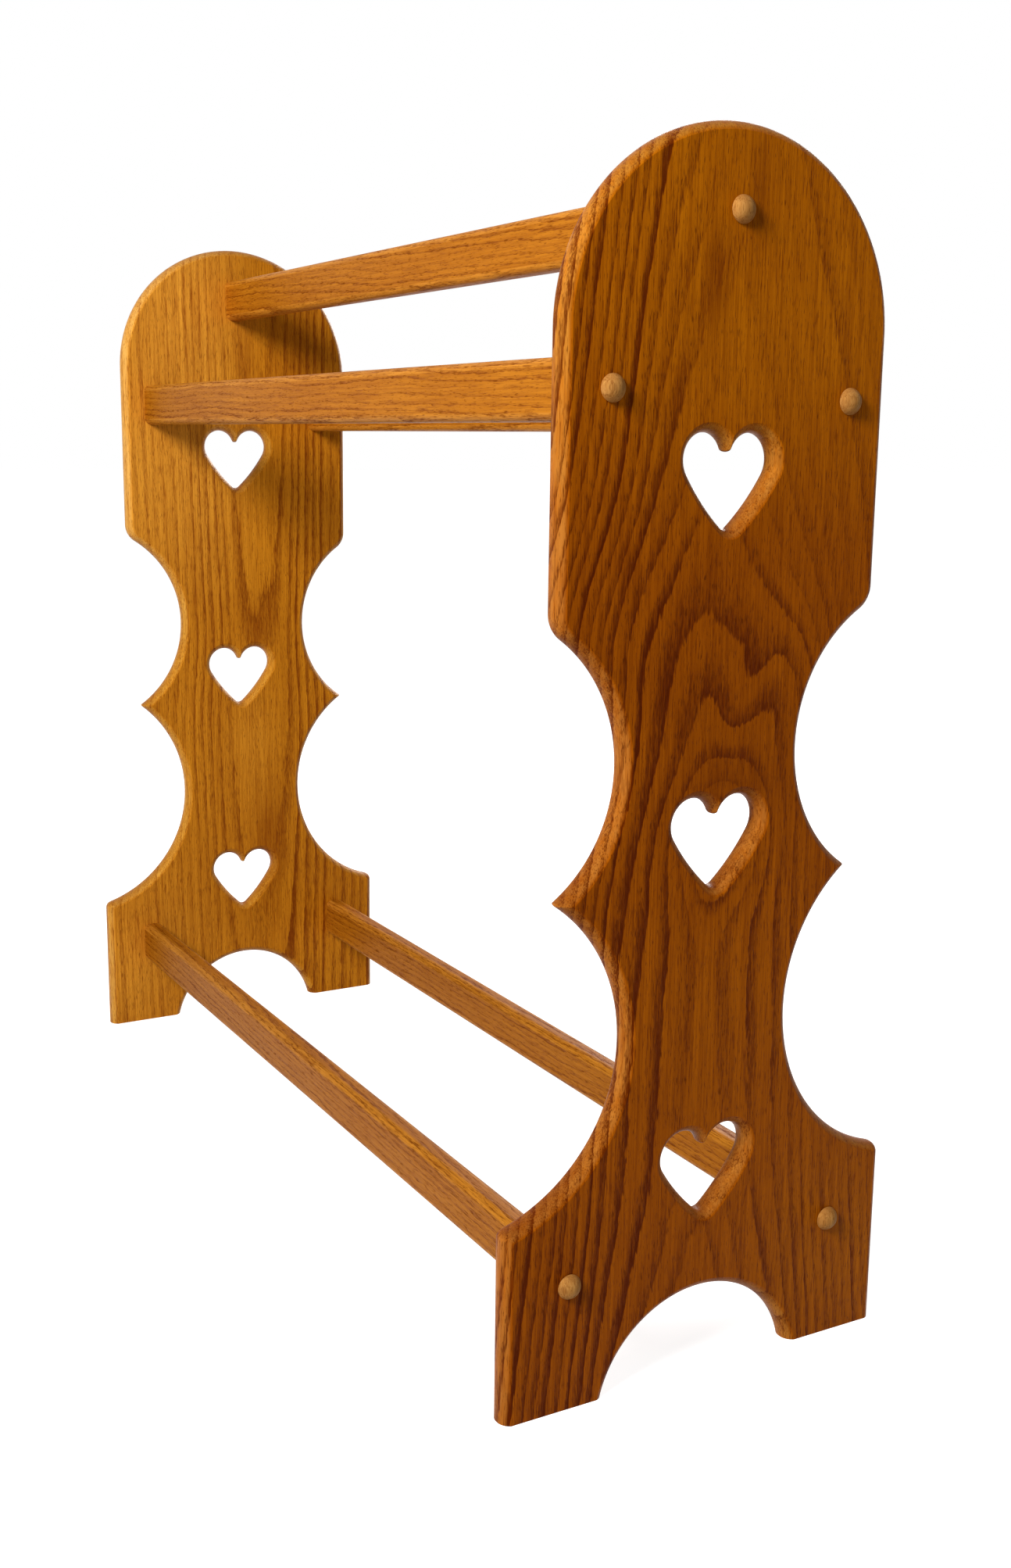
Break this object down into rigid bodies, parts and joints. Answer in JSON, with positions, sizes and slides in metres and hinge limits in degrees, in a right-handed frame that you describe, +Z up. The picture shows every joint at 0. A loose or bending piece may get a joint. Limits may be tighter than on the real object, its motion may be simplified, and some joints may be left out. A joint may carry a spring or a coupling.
{
  "type": "quilt rack",
  "caption": "Free-standing oak quilt rack: scroll-sawn end panels with heart cut-outs and arched feet, joined by rounded rails screwed on under domed button plugs.",
  "frame": {"origin": "on the floor under the middle of the rack", "axes": "+X along the rails to the right end panel, +Y from front to rear, +Z up"},
  "size_m": [0.9, 0.308, 0.813],
  "materials": {
    "panel_oak": "golden oak stain under satin varnish",
    "rail_oak": "golden oak stain under satin varnish",
    "button_oak": "smooth satin varnish",
    "screw_steel": "plain zinc"
  },
  "bodies": {
    "root": {"end_panel_right": "panel_oak", "end_panel_left": "panel_oak", "rail_top": "rail_oak", "rail_front_upper": "rail_oak", "rail_rear_upper": "rail_oak", "rail_front_lower": "rail_oak", "rail_rear_lower": "rail_oak", "button_right_top": "button_oak", "button_right_front_upper": "button_oak", "button_right_rear_upper": "button_oak", "button_right_front_lower": "button_oak", "button_right_rear_lower": "button_oak", "button_left_top": "button_oak", "button_left_front_upper": "button_oak", "button_left_rear_upper": "button_oak", "button_left_front_lower": "button_oak", "button_left_rear_lower": "button_oak", "screw_right_top": "screw_steel", "screw_right_front_upper": "screw_steel", "screw_right_rear_upper": "screw_steel", "screw_right_front_lower": "screw_steel", "screw_right_rear_lower": "screw_steel", "screw_left_top": "screw_steel", "screw_left_front_upper": "screw_steel", "screw_left_rear_upper": "screw_steel", "screw_left_front_lower": "screw_steel", "screw_left_rear_lower": "screw_steel"}
  },
  "joints": []
}
